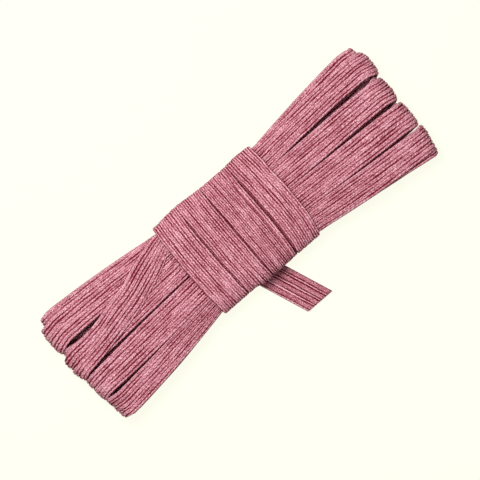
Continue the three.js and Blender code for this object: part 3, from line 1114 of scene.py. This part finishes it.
def new_group(kind: Effect) -> bpy.types.NodeTree:
    """Makes an effect's node group."""
    formula, sockets = EFFECTS[kind]
    group = bpy.data.node_groups.new(kind.value, "ShaderNodeTree")
    for name, socket in sockets.items():
        group.interface.new_socket(name, in_out="INPUT", socket_type=socket)
    group.interface.new_socket("Value", in_out="OUTPUT", socket_type="NodeSocketFloat")
    graph = Graph(group)
    start, end = graph.node("NodeGroupInput"), graph.node("NodeGroupOutput")
    graph.feed(end.inputs["Value"], formula(graph, start.outputs))
    return group


STITCH_SLANT = 0.7  # of a stitch's length, over one rib
STITCH_OFFSET = 0.37  # of a stitch's length, from one rib to the next
GRAIN_SIZES = (0.28, 1.7)  # of the fibres and of their patches, in millimetres
GRAIN_SHARES = (0.82, 0.18)
TONE_APART = 7.31  # in the noise, from one rib to the next
TONE_PACE = 0.12  # of the noise, for each millimetre along a rib

Sockets = Mapping[str, bpy.types.NodeSocket]


def stitches(graph: Graph, chart: Sockets) -> bpy.types.NodeSocket:
    """Slanting stitches along each rib that turn over at the next rib, as in a flat braid."""
    rib = graph.math("FLOOR", chart["Across"])
    inside = graph.math("SUBTRACT", graph.math("FRACT", chart["Across"]), 0.5)
    turn = graph.math("MULTIPLY_ADD", graph.math("PINGPONG", rib, 1.0), 2.0, -1.0)
    slant = graph.math("MULTIPLY", graph.math("MULTIPLY", inside, turn), STITCH_SLANT)
    along = graph.math("DIVIDE", chart["Along"], Yarn.stitch)
    shifted = graph.math("MULTIPLY_ADD", rib, STITCH_OFFSET, graph.math("ADD", along, slant))
    wave = graph.math("COSINE", graph.math("MULTIPLY", shifted, 2 * math.pi))
    return graph.math("MULTIPLY_ADD", wave, 0.5, 0.5)


def fibres(graph: Graph, given: Sockets) -> bpy.types.NodeSocket:
    """Fine bright and dull fibres, in brighter and duller patches."""
    place, (fine_share, coarse_share) = given["Place"], GRAIN_SHARES
    fine, coarse = (graph.noise(place, 1.0 / (size * MM), 1.0) for size in GRAIN_SIZES)
    fine = graph.math("MULTIPLY", fine, fine_share)
    return graph.math("MULTIPLY_ADD", coarse, coarse_share, fine)


def rib_tones(graph: Graph, chart: Sockets) -> bpy.types.NodeSocket:
    """Slow changes of tone along each rib, different from rib to rib."""
    rib = graph.math("MULTIPLY", graph.math("FLOOR", chart["Across"]), TONE_APART)
    along = graph.math("MULTIPLY", chart["Along"], TONE_PACE)
    return graph.noise(graph.result("ShaderNodeCombineXYZ", rib, along), 1.0, 2.0)


CHART = {"Across": "NodeSocketFloat", "Along": "NodeSocketFloat"}
EFFECTS = {
    Effect.STITCHES: (stitches, CHART),
    Effect.GRAIN: (fibres, {"Place": "NodeSocketVector"}),
    Effect.TONE: (rib_tones, CHART),
}


@dataclass(frozen=True)
class Lamp:
    """A square softbox that faces the hank, with its place and size in metres."""

    name: str
    place: tuple[float, float, float]
    size: float
    power: float

    def build(self) -> None:
        """Adds the lamp, turned to the model's origin."""
        bpy.ops.object.light_add(type="AREA", location=self.place)
        lamp = bpy.context.object
        lamp.name = self.name
        lamp.data.size = self.size
        lamp.data.energy = self.power
        x, y, z = np.array(self.place) / np.linalg.norm(self.place)
        lamp.rotation_euler = (math.acos(z), 0, math.atan2(y, x) + math.pi / 2)


@dataclass(frozen=True)
class Studio:
    """The pale floor, the soft light and the camera straight above."""

    lamps: tuple[Lamp, ...] = (
        Lamp("key", (0.0, 0.15, 0.35), 0.17, 1.52),
        Lamp("overhead", (-0.1, 0.3, 1.7), 1.2, 7.5),
    )
    world_colour: tuple[float, float, float] = (1.0, 0.99, 0.97)
    world_strength: float = 0.33
    frame_width: float = 0.160
    middle: tuple[float, float] = (6.57, -2.37)
    turn: float = -40.87
    distance: float = 1.5
    focus_height: float = 6.0
    floor_size: float = 3.0
    floor_drop: float = 0.00002
    floor_roughness: float = 0.9
    floor_colour: tuple[float, float, float] = (0.75, 0.75, 0.7)
    floor_glow: tuple[float, float, float] = (1.04, 1.04, 0.905)
    floor_evenness: float = 0.9
    sensor: float = 36.0

    def camera(self) -> None:
        """Puts the camera over the hank, turned as the photograph is."""
        height = self.distance + self.focus_height * MM
        place = (self.middle[0] * MM, self.middle[1] * MM, height)
        bpy.ops.object.camera_add(location=place, rotation=(0, 0, math.radians(self.turn)))
        camera = bpy.context.object
        camera.data.lens = self.sensor * self.distance / self.frame_width
        camera.data.sensor_width = self.sensor
        camera.data.clip_end = 10.0
        bpy.context.scene.camera = camera

    def floor(self) -> None:
        """Lays the pale floor, which is lit so evenly that only a faint shadow shows on it."""
        bpy.ops.object.select_all(action="DESELECT")
        bpy.ops.mesh.primitive_plane_add(size=self.floor_size, location=(0, 0, -self.floor_drop))
        floor = bpy.context.object
        floor.name = "floor"
        material = bpy.data.materials.new("pale floor")
        material.use_nodes = True
        graph = Graph(material.node_tree)
        shader = material.node_tree.nodes["Principled BSDF"]
        base = (*self.floor_colour, 1.0)
        finish = {"Base Color": base, "Roughness": self.floor_roughness, "Specular IOR Level": 0.0}
        graph.give(shader, finish)
        glow = graph.result("ShaderNodeEmission", (*self.floor_glow, 1.0))
        seen = graph.node("ShaderNodeLightPath").outputs["Is Camera Ray"]
        even = graph.math("MULTIPLY", seen, self.floor_evenness)
        blend = graph.result("ShaderNodeMixShader", even, shader.outputs["BSDF"], glow)
        graph.feed(material.node_tree.nodes["Material Output"].inputs["Surface"], blend)
        floor.data.materials.append(material)

    def light(self) -> None:
        """Sets the soft studio light: a near key, a wide lamp overhead and an even fill."""
        for lamp in self.lamps:
            lamp.build()
        world = bpy.data.worlds.new("studio")
        bpy.context.scene.world = world
        world.use_nodes = True
        fill = {"Color": (*self.world_colour, 1.0), "Strength": self.world_strength}
        Graph(world.node_tree).give(world.node_tree.nodes["Background"], fill)
        bpy.context.scene.view_settings.view_transform = "Standard"


def dress(piece: bpy.types.Object, *nodes: str) -> bpy.types.Object:
    """Lets a piece ride on the hank's body and stand for the nodes it shows."""
    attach(piece, BODY)
    if nodes:
        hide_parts(*nodes)
    LOG.info("%s: %d faces", piece.name, len(piece.data.polygons))
    return piece


def main() -> None:
    """Builds the studio and every ribbon of the hank in order."""
    logging.basicConfig(level=logging.INFO, format="%(message)s")
    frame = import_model()
    LOG.info("loaded %d nodes", len(frame["nodes"]))
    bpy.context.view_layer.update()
    studio = Studio()
    studio.camera()
    studio.floor()
    studio.light()
    relaxed = Yarn("relaxed elastic", level=0.68).build()
    tight = Yarn("tight elastic", level=0.715).build()
    # the free end's yarn is set darker than the turns': painted shade for the wrap's shadow that it
    # lies in
    shaded_end_yarn = Yarn("free end elastic in painted shade", level=0.56).build()
    numbers = count()
    for turn in (*TURNS, CrossedTurn()):
        dress(turn.ribbon(next(numbers)).build(relaxed), "hank")
    wrap = Wrap()
    dress(wrap.ribbon(next(numbers)).build(tight), "hank")
    for turn in range(len(wrap.first_layer)):
        dress(wrap.first_ribbon(turn, next(numbers)).build(tight), "hank")
    end = FreeEnd(wrap)
    tail = dress(end.ribbon(next(numbers)).build(shaded_end_yarn), "tail")


if __name__ == "__main__":
    main()
